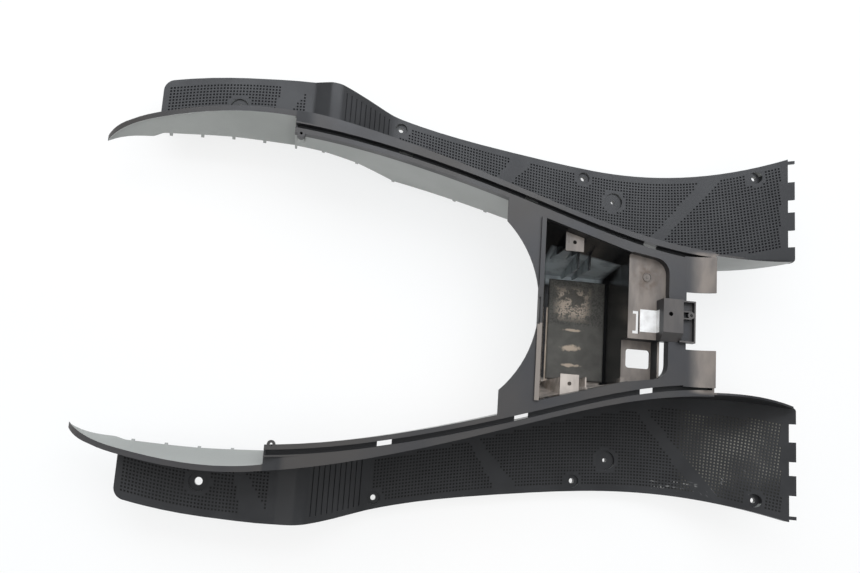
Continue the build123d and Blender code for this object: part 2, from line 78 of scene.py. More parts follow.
# Kinds of sockets of the node groups
NUMBER, VECTOR = "NodeSocketFloat", "NodeSocketVector"

# Top of a foot tray from the side, as in the part: stations and heights in metres
PLATFORM = ((-0.405, 0.063), (-0.207, 0.0672))
FLOOR = ((-0.093, 0.0285), (0.204, 0.0185))
TAIL_END = (0.470, 0.110)

# Outer edge of the right hand tray from above, as in the part
OUTER_EDGE = [(-0.405, 0.271), (-0.330, 0.285), (-0.261, 0.291), (-0.181, 0.2915), (-0.073, 0.2675),
              (0.090, 0.241), (0.251, 0.2275), (0.360, 0.231), (0.463, 0.250)]

# Screw places of a tray: station, side and radius of the smooth ring around the seat
SCREW_RINGS = [(-0.304, 0.246, 0.0138), (-0.081, 0.255, 0.0104), (0.192, 0.217, 0.0104),
               (0.427, 0.226, 0.0104), (0.238, 0.186, 0.0148)]

# Camera of the photograph in the frame of the part, for an image of 860 by 573
CAMERA_PLACE = (-0.1954, -0.1893, 1.2407)
CAMERA_RIGHT = (0.9862, 0.0674, 0.1510)
CAMERA_UP = (-0.0927, 0.9815, 0.1673)
CAMERA_LENS = 37.674
CAMERA_SENSOR = 36.0


def tray_top(station):
    """Height of the tray's top at a station of the platform, the floor or the tail."""
    start, end = PLATFORM if station <= PLATFORM[1][0] else FLOOR
    slope = (end[1] - start[1]) / (end[0] - start[0])
    if station <= FLOOR[1][0]:
        return start[1] + slope * (station - start[0])
    along, up = TAIL_END[0] - FLOOR[1][0], TAIL_END[1] - FLOOR[1][1]
    length = math.hypot(1, slope)
    radius = (along ** 2 + up ** 2) * length / (2 * (up - slope * along))
    middle = FLOOR[1][0] - radius * slope / length
    return FLOOR[1][1] + radius / length - math.sqrt(radius ** 2 - (station - middle) ** 2)


def outer_line(station):
    """Distance of the tray's outer edge from the middle plane at a station, smooth through its points."""
    points = OUTER_EDGE
    last = len(points) - 2
    span = next((i for i in range(last) if station < points[i + 1][0]), last)
    (x0, y0), (x1, y1) = points[span], points[span + 1]
    before, after = points[max(span - 1, 0)], points[min(span + 2, last + 1)]
    slope0 = (y1 - before[1]) / (x1 - before[0])
    slope1 = (after[1] - y0) / (after[0] - x0)
    run = x1 - x0
    t = (station - x0) / run
    return ((1 + 2 * t) * (1 - t) ** 2 * y0 + t * (1 - t) ** 2 * run * slope0
            + t ** 2 * (3 - 2 * t) * y1 + t ** 2 * (t - 1) * run * slope1)


def add_piece(name, mesh, slot, *materials):
    """Links a mesh as a piece under the root body's empty and gives it the finishes; the slot is not used."""
    piece = bpy.data.objects.new(name, mesh)
    bpy.context.scene.collection.objects.link(piece)
    for material in materials:
        mesh.materials.append(material)
    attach(piece, BODY)
    return piece


def node(tree, kind, inputs=None, **fields):
    """Adds a shader node, sets its fields, and joins or sets its inputs."""
    made = tree.nodes.new(kind)
    for field, value in fields.items():
        setattr(made, field, value)
    for socket, value in (inputs or {}).items():
        if isinstance(value, bpy.types.NodeSocket):
            tree.links.new(value, made.inputs[socket])
        else:
            made.inputs[socket].default_value = value
    return made


def maths(tree, operation, first, second=0.0, clamp=False):
    """Result of a Math node."""
    made = node(tree, "ShaderNodeMath", {0: first, 1: second}, operation=operation, use_clamp=clamp)
    return made.outputs[0]


def mixed(tree, factor, first, second):
    """Colour that goes from the first to the second with the factor."""
    made = node(tree, "ShaderNodeMix", {"Factor": factor, 6: first, 7: second}, data_type="RGBA")
    return made.outputs[2]


def ranged(tree, value, low, high, first=0.0, second=1.0):
    """The value's range from low to high, spread smoothly from first to second and clamped."""
    made = node(tree, "ShaderNodeMapRange",
                {"Value": value, "From Min": low, "From Max": high, "To Min": first, "To Max": second},
                interpolation_type="SMOOTHSTEP")
    return made.outputs[0]


def vector_maths(tree, operation, first, second=(0, 0, 0)):
    """Vector result of a Vector Math node."""
    made = node(tree, "ShaderNodeVectorMath", {0: first, 1: second}, operation=operation)
    return made.outputs[0]


def product(tree, *factors):
    """Product of several values."""
    result = factors[0]
    for factor in factors[1:]:
        result = maths(tree, "MULTIPLY", result, factor)
    return result


def largest(tree, *values):
    """Largest of several values."""
    result = values[0]
    for value in values[1:]:
        result = maths(tree, "MAXIMUM", result, value)
    return result


def object_place(tree):
    """Place on the object in metres."""
    return node(tree, "ShaderNodeTexCoord").outputs["Object"]


def parts_of(tree, vector):
    """The three parts of a vector."""
    return node(tree, "ShaderNodeSeparateXYZ", {0: vector}).outputs


def facing_of(tree):
    """The three parts of the surface's normal."""
    return parts_of(tree, node(tree, "ShaderNodeNewGeometry").outputs["Normal"])


def cloud(tree, scale, detail, vector=None, roughness=0.5):
    """Noise over the object's place, or over another vector."""
    where = object_place(tree) if vector is None else vector
    made = node(tree, "ShaderNodeTexNoise",
                {"Vector": where, "Scale": scale, "Detail": detail, "Roughness": roughness})
    return made.outputs[0]


# Noise as a mask: its scale and detail, the range of the noise that counts, and the values it is spread to
Speckle = namedtuple("Speckle", "scale detail low high least most", defaults=(0.0, 1.0))


def speckle(tree, look, vector=None):
    """Mask made of noise over the object's place, or over another vector."""
    made = cloud(tree, look.scale, look.detail, vector)
    return ranged(tree, made, look.low, look.high, look.least, look.most)


def new_group(name, inputs, outputs):
    """Shader node group with named sockets; gives its tree, its inside and its outside."""
    tree = bpy.data.node_groups.new(name, "ShaderNodeTree")
    for label, kind, default in inputs:
        tree.interface.new_socket(label, in_out="INPUT", socket_type=kind).default_value = default
    for label in outputs:
        tree.interface.new_socket(label, in_out="OUTPUT", socket_type=NUMBER)
    return tree, node(tree, "NodeGroupInput"), node(tree, "NodeGroupOutput")


# Parts of the surface's normal at which a mask starts and at which it is full
LOOKS_UP = (0.45, 0.85)
HOLDS_DUST = (0.35, 0.90)
PIT_FLOOR = (0.70, 0.80)
LOOKS_INWARD = (-0.30, -0.55)
NOT_OUTWARD = (0.60, 0.35)

# Details of the noises in the node groups, and how far their masks take to fade
GRAIN_DETAIL, TONE_DETAIL = 3.0, 5.0
TONE_RANGE = (0.3, 0.7)
DUST_DETAIL, DUST_ROUGHNESS, DUST_FADE = 8.0, 0.65, 0.3
SMEAR_SCALE, SMEAR_DETAIL = 150.0, 4.0
SMEAR_EDGE = (1.0, 0.45)
SCUFF_DETAIL, SCUFF_FADE = 4.0, 0.08
SCUFF_BREAKS = Speckle(130.0, 3.0, 0.42, 0.60)


def grain_group():
    """Moulded grain: fine height for a bump, and slow changes of tone."""
    tree, given, out = new_group(
        "Moulded Grain", [("Fine Scale", NUMBER, 1400.0), ("Tone Scale", NUMBER, 18.0)], ["Height", "Tone"])
    tree.links.new(cloud(tree, given.outputs["Fine Scale"], GRAIN_DETAIL), out.inputs["Height"])
    slow = cloud(tree, given.outputs["Tone Scale"], TONE_DETAIL)
    tree.links.new(ranged(tree, slow, *TONE_RANGE), out.inputs["Tone"])
    return tree


def dust_group():
    """Dust that lies on what faces up, in uneven patches."""
    tree, given, out = new_group(
        "Settled Dust", [("Scale", NUMBER, 60.0), ("Cover", NUMBER, 0.5)], ["Mask"])
    patches = cloud(tree, given.outputs["Scale"], DUST_DETAIL, roughness=DUST_ROUGHNESS)
    level = maths(tree, "SUBTRACT", 1.0, given.outputs["Cover"])
    patchy = ranged(tree, patches, level, maths(tree, "ADD", level, DUST_FADE))
    up = ranged(tree, facing_of(tree)[2], *HOLDS_DUST)
    tree.links.new(product(tree, patchy, up), out.inputs["Mask"])
    return tree


def zone_group():
    """Mask of a box of the object, given by its middle and half size, with a soft edge."""
    tree, given, out = new_group(
        "Zone", [("Middle", VECTOR, (0, 0, 0)), ("Half", VECTOR, (1, 1, 1)), ("Soft", NUMBER, 0.002)],
        ["Mask"])
    offset = vector_maths(tree, "SUBTRACT", object_place(tree), given.outputs["Middle"])
    away = vector_maths(tree, "ABSOLUTE", offset)
    past = parts_of(tree, vector_maths(tree, "SUBTRACT", away, given.outputs["Half"]))
    depth = product(tree, largest(tree, *past), -1.0)
    inside = maths(tree, "DIVIDE", depth, given.outputs["Soft"], clamp=True)
    tree.links.new(inside, out.inputs["Mask"])
    return tree


def smear_group():
    """Mask of an oval smear with a soft, uneven edge, given by its middle and half size."""
    tree, given, out = new_group(
        "Smear", [("Middle", VECTOR, (0, 0, 0)), ("Half", VECTOR, (1, 1, 1)), ("Ragged", NUMBER, 0.6)],
        ["Mask"])
    offset = vector_maths(tree, "SUBTRACT", object_place(tree), given.outputs["Middle"])
    scaled = vector_maths(tree, "DIVIDE", offset, given.outputs["Half"])
    away = node(tree, "ShaderNodeVectorMath", {0: scaled}, operation="LENGTH").outputs["Value"]
    centred = maths(tree, "SUBTRACT", cloud(tree, SMEAR_SCALE, SMEAR_DETAIL), 0.5)
    wander = product(tree, centred, given.outputs["Ragged"])
    tree.links.new(ranged(tree, maths(tree, "ADD", away, wander), *SMEAR_EDGE), out.inputs["Mask"])
    return tree


def scuff_group():
    """Pale scratches along a direction, broken by a coarser noise."""
    tree, given, out = new_group(
        "Scuffs", [("Turn", NUMBER, 0.0), ("Length", NUMBER, 25.0), ("Width", NUMBER, 420.0),
                   ("Cover", NUMBER, 0.4)], ["Mask"])
    turned = node(tree, "ShaderNodeVectorRotate",
                  {"Vector": object_place(tree), "Angle": given.outputs["Turn"]}, rotation_type="Z_AXIS")
    stretch = node(tree, "ShaderNodeCombineXYZ",
                   {0: given.outputs["Length"], 1: given.outputs["Width"], 2: 1.0})
    drawn = vector_maths(tree, "MULTIPLY", turned.outputs[0], stretch.outputs[0])
    lines = cloud(tree, 1.0, SCUFF_DETAIL, drawn)
    level = maths(tree, "SUBTRACT", 1.0, given.outputs["Cover"])
    sharp = ranged(tree, lines, level, maths(tree, "ADD", level, SCUFF_FADE))
    tree.links.new(product(tree, sharp, speckle(tree, SCUFF_BREAKS)), out.inputs["Mask"])
    return tree


def shared(name, make):
    """The node group of that name, built on first use."""
    return bpy.data.node_groups.get(name) or make()


def use(tree, name, make, **values):
    """Places a shared node group with its own values; gives its outputs."""
    made = node(tree, "ShaderNodeGroup", node_tree=shared(name, make))
    for label, value in values.items():
        made.inputs[label.replace("_", " ")].default_value = value
    return made.outputs


def zone(tree, low, high, soft):
    """Mask of the box between two corners in metres, with a soft edge."""
    low, high = Vector(low), Vector(high)
    return use(tree, "Zone", zone_group, Middle=(low + high) / 2, Half=(high - low) / 2, Soft=soft)[0]


def new_material(name):
    """Material with an empty tree, its shader and its output."""
    material = bpy.data.materials.new(name)
    material.use_nodes = True
    tree = material.node_tree
    tree.nodes.clear()
    shader = node(tree, "ShaderNodeBsdfPrincipled")
    node(tree, "ShaderNodeOutputMaterial", {"Surface": shader.outputs[0]})
    return material, tree, shader


def finish(tree, shader, colour, roughness, height, depth):
    """Joins a colour, a roughness and a bump height to the shader."""
    bump = node(tree, "ShaderNodeBump", {"Height": height, "Distance": depth, "Strength": 1.0})
    for socket, value in (("Base Color", colour), ("Roughness", roughness), ("Normal", bump.outputs[0])):
        tree.links.new(value, shader.inputs[socket])


def rgba(colour):
    """A colour property as four numbers."""
    return (*colour, 1.0)


# Roughness of each finish from its first tone to its second, and depth of its grain
PLASTIC_ROUGH, PLASTIC_GRAIN = (0.38, 0.50), 0.06 * MM
PIT_ROUGH = (0.55, 0.70)
FOAM_ROUGH, FOAM_GRAIN = (0.80, 0.95), 0.3 * MM
PAPER_ROUGH, PAPER_GRAIN = (0.35, 0.50), 0.3 * MM
FLOOR_ROUGH = 0.9

# How much smoother the well is than the rest of the moulding, and how much rougher the dust
WELL_SMOOTHER = 0.26
DUST_ROUGHER = 0.25

# Scuffed places of the left hand tray: corners of the box in metres and its soft edge
SCUFFED_EDGE = ((0.300, -0.222, 0.01), (0.362, -0.206, 0.06), 0.006)
SCUFFED_PATCH = ((0.360, -0.230, 0.02), (0.430, -0.160, 0.10), 0.020)


def tray_scuffs(tree):
    """Mask of the pale scuffs at the tail of the left hand tray."""
    along = use(tree, "Scuffs", scuff_group, Turn=math.radians(8), Cover=0.46)[0]
    across = use(tree, "Scuffs", scuff_group, Turn=math.radians(50), Length=60.0, Cover=0.36)[0]
    edge = product(tree, along, zone(tree, *SCUFFED_EDGE))
    patch = product(tree, across, zone(tree, *SCUFFED_PATCH))
    return largest(tree, edge, patch)


def dust_and_scuffs(tree, colour, look, dust_share, scuff_share):
    """Colour with a thin film of dust and the scuffs of the left hand tray."""
    film = use(tree, "Settled Dust", dust_group, Scale=22.0, Cover=0.42)[0]
    colour = mixed(tree, product(tree, film, dust_share), colour, rgba(look.dust))
    return mixed(tree, product(tree, tray_scuffs(tree), scuff_share), colour, rgba(look.scuff))


# Heights and stations of the part, in metres, at which the moulding's finish and the painted sheen of its
# inner walls change
RIM_TOP = 0.138
STRIP_FOOT = 0.126
NOSE_LOW = 0.076
TUNNEL_FRONT, TUNNEL_BACK = -0.226, 0.340


def worn_rim(tree, colour, look, place, up, marbled):
    """Colour with the lighter rim, bridge and nose."""
    rim = product(tree, ranged(tree, place[2], RIM_TOP - 2.5 * MM, RIM_TOP - 0.8 * MM), up)
    nose = product(tree, ranged(tree, place[0], TUNNEL_FRONT + MM, TUNNEL_FRONT - 2 * MM),
                   ranged(tree, place[2], NOSE_LOW - 4 * MM, NOSE_LOW + 4 * MM))
    tray_front = PLATFORM[0][0]
    tip = ranged(tree, place[0], tray_front - 0.5 * MM, tray_front - 2.5 * MM)
    worn = mixed(tree, marbled, rgba(look.rim), rgba(look.rim_warm))
    return mixed(tree, largest(tree, rim, nose, tip), colour, worn)


def painted_sheen_inside(tree, colour, look, place, outwards, marbled):
    """Colour with the pale inner walls of the nose, the tunnel and the tail; their pale tone is a painted
    sheen.
    """
    tunnel = ranged(tree, place[2], STRIP_FOOT + 0.5 * MM, STRIP_FOOT - 0.5 * MM)
    nose = ranged(tree, place[0], TUNNEL_FRONT, TUNNEL_FRONT - 3 * MM)
    tail = ranged(tree, place[0], TUNNEL_BACK - MM, TUNNEL_BACK + 3 * MM)
    inward = ranged(tree, outwards, *LOOKS_INWARD)
    # Painted sheen: the walls that face the middle take a pale tone in place of their sheen
    smooth = product(tree, inward, largest(tree, tunnel, nose, tail))
    pale = mixed(tree, marbled, rgba(look.inside_sheen_low), rgba(look.inside_sheen_high))
    return mixed(tree, smooth, colour, pale)


# Battery well: station and half width of its front edge, how the width falls towards the rear, station
# of the front wall's foot, how that wall leans, and the box of the well with its soft edge
WELL_FRONT, WELL_HALF, WELL_TAPER = 0.106, 0.1185, 0.29
WELL_FOOT, WELL_LEAN = 0.146, 0.29
WELL_BOX = ((0.1045, -0.120, -0.01), (0.2390, 0.120, 0.1345), 0.001)

# Worn places and a painted highlight of the battery well: corners of the box, colour, how much of it shows
# and its soft edge. The first, bluish place is a painted highlight on the glossy upper end wall; the second
# is dust at the lower end and the third tan dirt beside the pad.
WELL_WEAR_AND_HIGHLIGHTS = [((0.130, 0.056, -0.006), (0.232, 0.100, 0.082), "well_highlight", 1.0, 0.008),
               ((0.100, -0.122, -0.006), (0.232, -0.076, 0.124), "worn_warm", 1.0, 0.005),
               ((0.1488, -0.092, -0.006), (0.1540, 0.024, 0.012), "tan", 0.9, 0.0008)]
WELL_WEAR_AND_HIGHLIGHT_PATCHES = Speckle(48.0, 5.0, 0.36, 0.60, 0.62, 1.0)


def well_inside(tree, place, outwards):
    """Mask of the inner faces between the slanted walls of the well."""
    behind = maths(tree, "SUBTRACT", place[0], WELL_FRONT)
    spread = maths(tree, "ADD", maths(tree, "ABSOLUTE", place[1]), product(tree, behind, WELL_TAPER))
    lean = maths(tree, "ADD", place[0], product(tree, place[2], WELL_LEAN))
    return product(tree, ranged(tree, spread, WELL_HALF + 5 * MM, WELL_HALF + 3 * MM),
                   ranged(tree, lean, WELL_FOOT - 2 * MM, WELL_FOOT - MM),
                   ranged(tree, outwards, *NOT_OUTWARD))


def well_wear_and_highlight(tree, colour, look, inside):
    """Colour with the black well, its worn lower end and the painted highlight on its upper end, and the mask
    of the well.
    """
    well = product(tree, zone(tree, *WELL_BOX), inside)
    colour = mixed(tree, well, colour, rgba(look.well))
    patchy = speckle(tree, WELL_WEAR_AND_HIGHLIGHT_PATCHES)
    # Painted highlight at the upper end, wear and dirt at the others
    for low, high, shade, share, soft in WELL_WEAR_AND_HIGHLIGHTS:
        worn = product(tree, zone(tree, low, high, soft), patchy, share, inside)
        colour = mixed(tree, worn, colour, rgba(getattr(look, shade)))
    return colour, well


# Dusty places around and behind the well, with painted sheen on the ledges and the rear tabs and a painted
# highlight on the cover strip: corners of the box in metres and its soft edge
LEDGES = ((0.1375, -0.118, 0.100), (0.285, 0.118, 0.1278), 0.0008)
REAR_TABS = ((0.290, -0.095, 0.130), (0.345, 0.095, 0.160), 0.004)
BRACKET_TOP = ((0.262, -0.032, 0.1384), (0.312, 0.027, 0.160), 0.0004)
COVER_STRIP = ((0.098, -0.121, 0.1392), (0.108, -0.020, 0.150), 0.0006)
STRAP_TAB = ((0.136, -0.112, 0.122), (0.165, -0.076, 0.1255), 0.0008)

# Stations between which the dust and painted sheen on the rear tabs come in, how much of it shows on the
# bracket and, as a painted highlight, on the cover strip, and its streaks of dust and painted sheen with how
# they are drawn out along each direction
TAB_DUST_AND_SHEEN = (0.302, 0.320)
BRACKET_SHARE, STRIP_HIGHLIGHT_SHARE = 0.30, 0.95
DUST_AND_SHEEN_STREAKS, STREAK_STRETCH = Speckle(1.0, 6.0, 0.30, 0.70, 0.55, 1.0), (70.0, 26.0, 40.0)


def rear_dust_and_sheen(tree, colour, look, place, up):
    """Colour with dust and painted sheen on the ledges and the rear tabs, a painted highlight on the cover
    strip, and the mask of the dust and sheen.
    """
    drawn = vector_maths(tree, "MULTIPLY", object_place(tree), STREAK_STRETCH)
    # Painted sheen: these streaks, and the rise of the tabs' dust towards the rear, stand in for a satin
    # sheen along with the dust
    uneven = speckle(tree, DUST_AND_SHEEN_STREAKS, drawn)
    tabs = product(tree, zone(tree, *REAR_TABS), ranged(tree, place[0], *TAB_DUST_AND_SHEEN))
    bracket = product(tree, zone(tree, *BRACKET_TOP), BRACKET_SHARE)
    dust = product(tree, largest(tree, zone(tree, *LEDGES), tabs, bracket), up, uneven)
    colour = mixed(tree, dust, colour, rgba(look.dust))
    # Painted highlight: the cover strip takes the pale dust colour in place of its highlight
    strip_highlight = product(tree, zone(tree, *COVER_STRIP), STRIP_HIGHLIGHT_SHARE)
    colour = mixed(tree, strip_highlight, colour, rgba(look.dust))
    strap_tab = product(tree, zone(tree, *STRAP_TAB), uneven, up)
    return mixed(tree, strap_tab, colour, rgba(look.worn_warm)), dust


# Round moulded mark on the shelf: its middle, the distances from there at which the stain starts and ends,
# and the stain's blots
SHELF_MARK = (0.250, 0.055, 0.126)
STAIN_START, STAIN_END = (4 * MM, 7 * MM), (30 * MM, 8 * MM)
STAIN_BLOTS = Speckle(120.0, 5.0, 0.35, 0.70, 0.15, 0.75)


def stained_shelf(tree, colour, look):
    """Colour with a brown stain around the shelf's mark."""
    measure = node(tree, "ShaderNodeVectorMath", {0: object_place(tree), 1: SHELF_MARK},
                   operation="DISTANCE")
    away = measure.outputs["Value"]
    ring = product(tree, ranged(tree, away, *STAIN_START), ranged(tree, away, *STAIN_END))
    stain = product(tree, ring, speckle(tree, STAIN_BLOTS))
    return mixed(tree, stain, colour, rgba(look.stain))


def board_material(look):
    """Charcoal moulding with a painted sheen on its smooth inside, a black well with a painted highlight at
    its upper end, a worn rim, and a dusty rear with painted sheen and a painted highlight.
    """
    material, tree, shader = new_material("charcoal_moulding")
    place = parts_of(tree, object_place(tree))
    facing = facing_of(tree)
    up = ranged(tree, facing[2], *LOOKS_UP)
    outwards = product(tree, maths(tree, "SIGN", place[1]), facing[1])
    grain = use(tree, "Moulded Grain", grain_group)
    marbled = use(tree, "Moulded Grain", grain_group, Tone_Scale=9.0)["Tone"]

    colour = mixed(tree, grain["Tone"], rgba(look.tray_low), rgba(look.tray_high))
    colour = worn_rim(tree, colour, look, place, up, marbled)
    colour = painted_sheen_inside(tree, colour, look, place, outwards, marbled)
    colour, well = well_wear_and_highlight(tree, colour, look, well_inside(tree, place, outwards))
    colour, dust = rear_dust_and_sheen(tree, colour, look, place, up)
    colour = stained_shelf(tree, colour, look)
    colour = dust_and_scuffs(tree, colour, look, dust_share=0.06, scuff_share=0.75)

    rough = ranged(tree, grain["Tone"], 0.0, 1.0, *PLASTIC_ROUGH)
    rough = maths(tree, "SUBTRACT", rough, product(tree, well, WELL_SMOOTHER))
    rough = maths(tree, "ADD", rough, product(tree, dust, DUST_ROUGHER), clamp=True)
    finish(tree, shader, colour, rough, grain["Height"], PLASTIC_GRAIN)
    return material


def tread_material(look):
    """Top of the tread: the tray's plastic, rubbed and scuffed."""
    material, tree, shader = new_material("tread_plastic")
    grain = use(tree, "Moulded Grain", grain_group)
    colour = mixed(tree, grain["Tone"], rgba(look.tray_low), rgba(look.tray_high))
    colour = dust_and_scuffs(tree, colour, look, dust_share=0.10, scuff_share=0.70)
    rough = ranged(tree, grain["Tone"], 0.0, 1.0, *PLASTIC_ROUGH)
    finish(tree, shader, colour, rough, grain["Height"], PLASTIC_GRAIN)
    return material


# Dust in the pits: box of the left hand tail with its soft edge, the dust's patches, the places across the
# part at which a thin film comes in with its shares there, and how much the pits shine
DUSTY_TAIL = ((0.325, -0.235, 0.0), (0.510, -0.080, 0.16), 0.065)
PIT_DUST = Speckle(30.0, 2.0, 0.35, 0.65, 0.20, 0.60)
FILM_SIDE, FILM_SHARE = (0.0, -0.05), (0.0, 0.03)
PIT_SHEEN = 0.12


def pit_shade_and_dust_material(look):
    """Pits of the tread: darker with painted shade, with a film of dust in the left hand tray and more of it
    at its tail.
    """
    material, tree, shader = new_material("tread_pits_shade_and_dust")
    shader.inputs["Specular IOR Level"].default_value = PIT_SHEEN
    grain = use(tree, "Moulded Grain", grain_group, Tone_Scale=40.0)
    # Painted shade: the pits take a near black colour for the shade in them
    colour = mixed(tree, grain["Tone"], rgba(look.pit), rgba(look.tray_low))
    floor = ranged(tree, facing_of(tree)[2], *PIT_FLOOR)
    dusty = product(tree, zone(tree, *DUSTY_TAIL), floor, speckle(tree, PIT_DUST))
    film = ranged(tree, parts_of(tree, object_place(tree))[1], *FILM_SIDE, *FILM_SHARE)
    colour = mixed(tree, largest(tree, dusty, film), colour, rgba(look.pit_dust))
    rough = ranged(tree, grain["Tone"], 0.0, 1.0, *PIT_ROUGH)
    finish(tree, shader, colour, rough, grain["Height"], PLASTIC_GRAIN)
    return material


# Soiled places of the foam: corners of the box in metres and its soft edge
SOOTY_PATCH = ((0.148, -0.002, 0.0), (0.238, 0.070, 0.02), 0.012)
CRUMBLY_PATCH = ((0.157, 0.004, -0.01), (0.216, 0.058, 0.03), 0.014)

# Noise of the foam's crumbs, the ranges of it that are black and pale, and the clumps that they lie in
CRUMB_SCALE, CRUMB_DETAIL = 420.0, 3.0
BLACK_CRUMBS, PALE_CRUMBS = (0.44, 0.60), (0.38, 0.50)
CLUMPS = Speckle(62.0, 3.0, 0.45, 0.53, 0.08, 1.0)

# Tan smears on the foam: middle and half size of each, and how much of the tan shows
TAN_SMEARS = [((0.1880, -0.0065, 0.006), (0.0165, 0.0026, 0.05)),
              ((0.1850, -0.0320, 0.006), (0.0170, 0.0056, 0.05)),
              ((0.1860, -0.0570, 0.006), (0.0155, 0.0030, 0.05))]
SMEAR_SHARE = 0.85


def foam_material(look):
    """Dark open foam with a patch of pale crumbs and tan smears."""
    material, tree, shader = new_material("dirty_foam")
    grain = use(tree, "Moulded Grain", grain_group, Fine_Scale=1100.0, Tone_Scale=60.0)
    colour = mixed(tree, grain["Tone"], rgba(look.foam_low), rgba(look.foam_high))
    crumbs = cloud(tree, CRUMB_SCALE, CRUMB_DETAIL)
    black = product(tree, zone(tree, *SOOTY_PATCH), ranged(tree, crumbs, *BLACK_CRUMBS))
    colour = mixed(tree, black, colour, rgba(look.soot))
    gathered = product(tree, zone(tree, *CRUMBLY_PATCH), speckle(tree, CLUMPS))
    dirt = product(tree, gathered, ranged(tree, crumbs, *PALE_CRUMBS))
    colour = mixed(tree, dirt, colour, rgba(look.dirt))
    for middle, half in TAN_SMEARS:
        smear = use(tree, "Smear", smear_group, Middle=middle, Half=half, Ragged=1.4)[0]
        colour = mixed(tree, product(tree, smear, SMEAR_SHARE), colour, rgba(look.tan))
    rough = ranged(tree, grain["Tone"], 0.0, 1.0, *FOAM_ROUGH)
    finish(tree, shader, colour, rough, crumbs, FOAM_GRAIN)
    return material


# How much of the dust's colour the sticker takes where it is soiled most
SOILED_SHARE = 0.35


def paper_material(look):
    """White sticker, a little soiled and rippled."""
    material, tree, shader = new_material("blank_paper")
    grain = use(tree, "Moulded Grain", grain_group, Fine_Scale=300.0, Tone_Scale=90.0)
    soiled = product(tree, grain["Tone"], SOILED_SHARE)
    colour = mixed(tree, soiled, rgba(look.paper), rgba(look.dust))
    rough = ranged(tree, grain["Tone"], 0.0, 1.0, *PAPER_ROUGH)
    finish(tree, shader, colour, rough, grain["Height"], PAPER_GRAIN)
    return material


# Floor: share and strength of the glow that makes it look white, and scale and detail of its slow tones
FLOOR_GLOW, GLOW_STRENGTH = 0.80, 1.12
FLOOR_SCALE, FLOOR_DETAIL = 1.5, 2.0


def floor_material(look):
    """Pale floor that looks white, and keeps a part of the object's soft shadow."""
    material, tree, shader = new_material("floor_pale")
    slow = cloud(tree, FLOOR_SCALE, FLOOR_DETAIL)
    colour = mixed(tree, slow, rgba(look.floor_cool), rgba(look.floor_warm))
    tree.links.new(colour, shader.inputs["Base Color"])
    shader.inputs["Roughness"].default_value = FLOOR_ROUGH
    shader.inputs["Specular IOR Level"].default_value = 0.0
    rays = node(tree, "ShaderNodeLightPath").outputs
    seen = largest(tree, rays["Is Camera Ray"], rays["Is Glossy Ray"], rays["Is Transmission Ray"])
    glow = node(tree, "ShaderNodeEmission", {"Color": colour, "Strength": GLOW_STRENGTH})
    both = node(tree, "ShaderNodeMixShader",
                {0: product(tree, seen, FLOOR_GLOW), 1: shader.outputs[0], 2: glow.outputs[0]})
    tree.links.new(both.outputs[0], tree.nodes["Material Output"].inputs["Surface"])
    return material


def material_of(name, make, look):
    """The material of that name, built on first use."""
    return bpy.data.materials.get(name) or make(look)


def refinish(body, name, make, context):
    """Gives an object one finish in place of what it has."""
    body.data.materials.clear()
    body.data.materials.append(material_of(name, make, context.scene.floorboard.looks))


def colour_property(label, text, colour):
    """Colour that a user may change."""
    return FloatVectorProperty(name=label, description=text, default=colour, size=3, min=0, max=1,
                               subtype="COLOR")


class FloorboardFinishes(bpy.types.PropertyGroup):
    """Colours of the finishes."""
    tray_low: colour_property("Tray, dark", "Darker tone of the trays", (0.0155, 0.016, 0.0172))
    tray_high: colour_property("Tray, light", "Lighter tone of the trays", (0.0235, 0.024, 0.0258))
    rim: colour_property("Rim", "Worn rim and bridge", (0.037, 0.0375, 0.041))
    rim_warm: colour_property("Rim, warm", "Browner tone of the worn rim and bridge", (0.050, 0.046, 0.043))
    # Painted sheen: the two pale tones of the smooth inner walls stand in for their sheen
    inside_sheen_low: colour_property("Inside, dark", "Darker tone of the smooth inner walls",
                                (0.280, 0.292, 0.276))
    inside_sheen_high: colour_property("Inside, light", "Lighter tone of the smooth inner walls",
                                 (0.345, 0.355, 0.338))
    well: colour_property("Well", "Inside of the battery well", (0.008, 0.008, 0.009))
    # Painted highlight: a pale bluish tone on the glossy upper end wall of the well, in place of its
    # reflection
    well_highlight: colour_property("Well, painted highlight", "Painted highlight on the upper end of the well", (0.440, 0.490, 0.510))
    worn_warm: colour_property("Well, dusty", "Dusty lower end of the well", (0.500, 0.445, 0.395))
    # Painted shade: the near black colour of the pits stands in for the shade in them
    pit: colour_property("Pits", "Pits of the tread", (0.004, 0.004, 0.005))
    pit_dust: colour_property("Dust in pits", "Pale dust in the pits of the left hand tray",
                              (0.380, 0.370, 0.320))
    # Also the colour of the painted sheen on the ledges and rear tabs and of the painted highlight on the
    # cover strip
    dust: colour_property("Dust", "Settled dust, also painted sheen and a painted highlight at the rear", (0.215, 0.186, 0.163))
    stain: colour_property("Stain", "Brown stain around the shelf's mark", (0.090, 0.062, 0.045))
    scuff: colour_property("Scuffs", "Pale scuffs", (0.480, 0.480, 0.460))
    foam_low: colour_property("Foam, dark", "Darker tone of the foam", (0.105, 0.102, 0.092))
    foam_high: colour_property("Foam, light", "Lighter tone of the foam", (0.146, 0.142, 0.129))
    soot: colour_property("Foam, soiled", "Soiled part of the foam", (0.040, 0.040, 0.036))
    dirt: colour_property("Dirt", "Crumbs of dirt on the foam", (0.520, 0.440, 0.360))
    tan: colour_property("Tan smears", "Tan smears on the foam and dirt beside it", (0.620, 0.510, 0.400))
    paper: colour_property("Sticker", "Blank sticker", (0.800, 0.800, 0.790))
    floor_cool: colour_property("Floor, cool", "Cooler tone of the floor", (0.860, 0.880, 0.890))
    floor_warm: colour_property("Floor, warm", "Warmer tone of the floor", (0.900, 0.890, 0.880))


